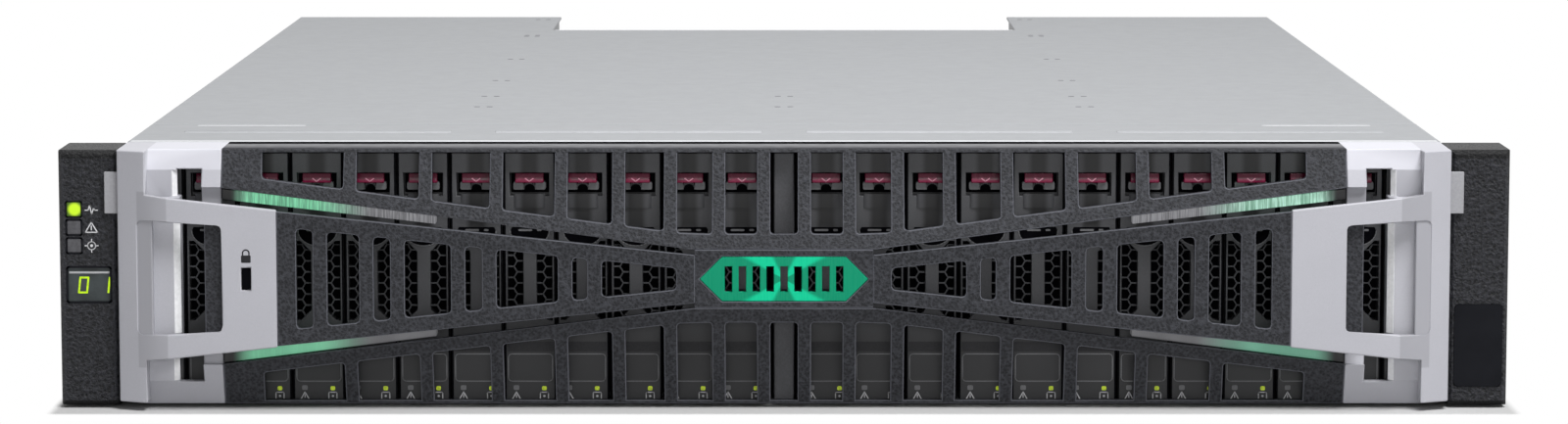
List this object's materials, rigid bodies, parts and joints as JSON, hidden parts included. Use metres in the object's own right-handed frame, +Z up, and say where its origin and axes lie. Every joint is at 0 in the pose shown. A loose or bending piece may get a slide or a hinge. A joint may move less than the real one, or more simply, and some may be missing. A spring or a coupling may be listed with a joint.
{
  "type": "storage array",
  "caption": "Flat rack-mounted storage enclosure with a bow-tie grille bezel, upright drive carriers behind it, pull-out controller canisters and power modules.",
  "frame": {"origin": "under the middle of the whole part, on the surface it rests on", "axes": "+X right seen from the front, +Y towards the rear, +Z up"},
  "size_m": [0.4826, 0.639, 0.0875],
  "materials": {
    "cover_sheet": "satin",
    "flange_steel": "satin",
    "ear_plastic": "grained",
    "gloss_plate": "gloss",
    "status_lens": "translucent",
    "display_lens": "gloss",
    "circuit_board": "satin",
    "carrier_plastic": "satin",
    "button_red": "gloss",
    "drive_metal": "satin",
    "guide_plastic": "satin",
    "divider_plastic": "satin",
    "socket_plastic": "satin",
    "grille_plastic": "fine grain",
    "hub_green": "satin",
    "light_guide": "frosted",
    "casting_silver": "satin",
    "tab_grey": "satin",
    "module_sheet": "satin",
    "port_metal": "bright",
    "lever_plastic": "satin",
    "guard_steel": "satin",
    "fan_plastic": "satin",
    "inlet_plastic": "satin",
    "switch_plastic": "gloss",
    "handle_plastic": "satin"
  },
  "bodies": {
    "chassis": {"bay_wall_left": "cover_sheet", "bay_wall_right": "cover_sheet", "blank_plate": "gloss_plate", "canister_shelf": "cover_sheet", "centre_divider": "divider_plastic", "chassis_tray": "cover_sheet", "display_window": "display_lens", "drive_carriers": "carrier_plastic", "drive_levers": "carrier_plastic", "drive_modules": "drive_metal", "drive_sockets": "socket_plastic", "ear_board": "circuit_board", "ear_cover_left": "ear_plastic", "ear_cover_right": "ear_plastic", "front_panel": "cover_sheet", "guide_lower_left": "guide_plastic", "guide_lower_right": "guide_plastic", "guide_upper_left": "guide_plastic", "guide_upper_right": "guide_plastic", "midplane_board": "circuit_board", "rack_flange_left": "flange_steel", "rack_flange_right": "flange_steel", "rear_sockets": "socket_plastic", "release_buttons": "button_red", "status_lenses": "status_lens", "top_cover": "cover_sheet"},
    "bezel": {"grille_upper": "grille_plastic", "grille_lower": "grille_plastic", "wing_left": "grille_plastic", "wing_right": "grille_plastic", "hub_frame": "grille_plastic", "hub_insert": "hub_green", "light_bars": "light_guide", "end_casting_left": "casting_silver", "end_casting_right": "casting_silver"},
    "tab_left": {"release_tab_left": "tab_grey"},
    "tab_right": {"release_tab_right": "tab_grey"},
    "canister_lower": {"canister_lower_housing": "module_sheet", "canister_lower_board": "circuit_board", "canister_lower_ports": "port_metal"},
    "canister_lower_lever_left": {"canister_lower_lever_left": "lever_plastic"},
    "canister_lower_lever_right": {"canister_lower_lever_right": "lever_plastic"},
    "canister_upper": {"canister_upper_housing": "module_sheet", "canister_upper_board": "circuit_board", "canister_upper_ports": "port_metal"},
    "canister_upper_lever_left": {"canister_upper_lever_left": "lever_plastic"},
    "canister_upper_lever_right": {"canister_upper_lever_right": "lever_plastic"},
    "power_left": {"power_housing_left": "module_sheet", "fan_guard_left": "guard_steel", "mains_inlet_left": "inlet_plastic"},
    "fan_left": {"fan_rotor_left": "fan_plastic"},
    "switch_left": {"power_switch_left": "switch_plastic"},
    "handle_left": {"pull_handle_left": "handle_plastic"},
    "power_right": {"power_housing_right": "module_sheet", "fan_guard_right": "guard_steel", "mains_inlet_right": "inlet_plastic"},
    "fan_right": {"fan_rotor_right": "fan_plastic"},
    "switch_right": {"power_switch_right": "switch_plastic"},
    "handle_right": {"pull_handle_right": "handle_plastic"}
  },
  "joints": [
    {"name": "bezel_pull", "type": "slide", "parent": "chassis", "child": "bezel", "axis": [0, -1, 0], "range_m": [0, 0.1]},
    {"name": "tab_left_press", "type": "slide", "parent": "bezel", "child": "tab_left", "axis": [1, 0, 0], "range_m": [0, 0.003], "stiffness_N_per_m": 400},
    {"name": "tab_right_press", "type": "slide", "parent": "bezel", "child": "tab_right", "axis": [-1, 0, 0], "range_m": [0, 0.003], "stiffness_N_per_m": 400},
    {"name": "canister_lower_slide", "type": "slide", "parent": "chassis", "child": "canister_lower", "axis": [0, 1, 0], "range_m": [0, 0.36]},
    {"name": "canister_lower_lever_left_swing", "type": "hinge", "parent": "canister_lower", "child": "canister_lower_lever_left", "pos_m": [-0.092, 0.22, 0.0115], "axis": [0, 0, 1], "range_deg": [0, 80]},
    {"name": "canister_lower_lever_right_swing", "type": "hinge", "parent": "canister_lower", "child": "canister_lower_lever_right", "pos_m": [0.092, 0.22, 0.0115], "axis": [0, 0, -1], "range_deg": [0, 80]},
    {"name": "canister_upper_slide", "type": "slide", "parent": "chassis", "child": "canister_upper", "axis": [0, 1, 0], "range_m": [0, 0.36]},
    {"name": "canister_upper_lever_left_swing", "type": "hinge", "parent": "canister_upper", "child": "canister_upper_lever_left", "pos_m": [-0.092, 0.22, 0.0544], "axis": [0, 0, 1], "range_deg": [0, 80]},
    {"name": "canister_upper_lever_right_swing", "type": "hinge", "parent": "canister_upper", "child": "canister_upper_lever_right", "pos_m": [0.092, 0.22, 0.0544], "axis": [0, 0, -1], "range_deg": [0, 80]},
    {"name": "power_left_slide", "type": "slide", "parent": "chassis", "child": "power_left", "axis": [0, 1, 0], "range_m": [0, 0.3]},
    {"name": "fan_left_spin", "type": "hinge", "parent": "power_left", "child": "fan_left", "pos_m": [-0.1769, 0.2923, 0.0435], "axis": [0, 1, 0], "continuous": true},
    {"name": "switch_left_rock", "type": "hinge", "parent": "power_left", "child": "switch_left", "pos_m": [-0.1223, 0.2923, 0.026], "axis": [-1, 0, 0], "range_deg": [0, 18]},
    {"name": "handle_left_swing", "type": "hinge", "parent": "power_left", "child": "handle_left", "pos_m": [-0.1769, 0.3005, 0.009], "axis": [-1, 0, 0], "range_deg": [0, 75]},
    {"name": "power_right_slide", "type": "slide", "parent": "chassis", "child": "power_right", "axis": [0, 1, 0], "range_m": [0, 0.3]},
    {"name": "fan_right_spin", "type": "hinge", "parent": "power_right", "child": "fan_right", "pos_m": [0.1769, 0.2923, 0.0435], "axis": [0, 1, 0], "continuous": true},
    {"name": "switch_right_rock", "type": "hinge", "parent": "power_right", "child": "switch_right", "pos_m": [0.1223, 0.2923, 0.026], "axis": [-1, 0, 0], "range_deg": [0, 18]},
    {"name": "handle_right_swing", "type": "hinge", "parent": "power_right", "child": "handle_right", "pos_m": [0.1769, 0.3005, 0.009], "axis": [-1, 0, 0], "range_deg": [0, 75]}
  ]
}
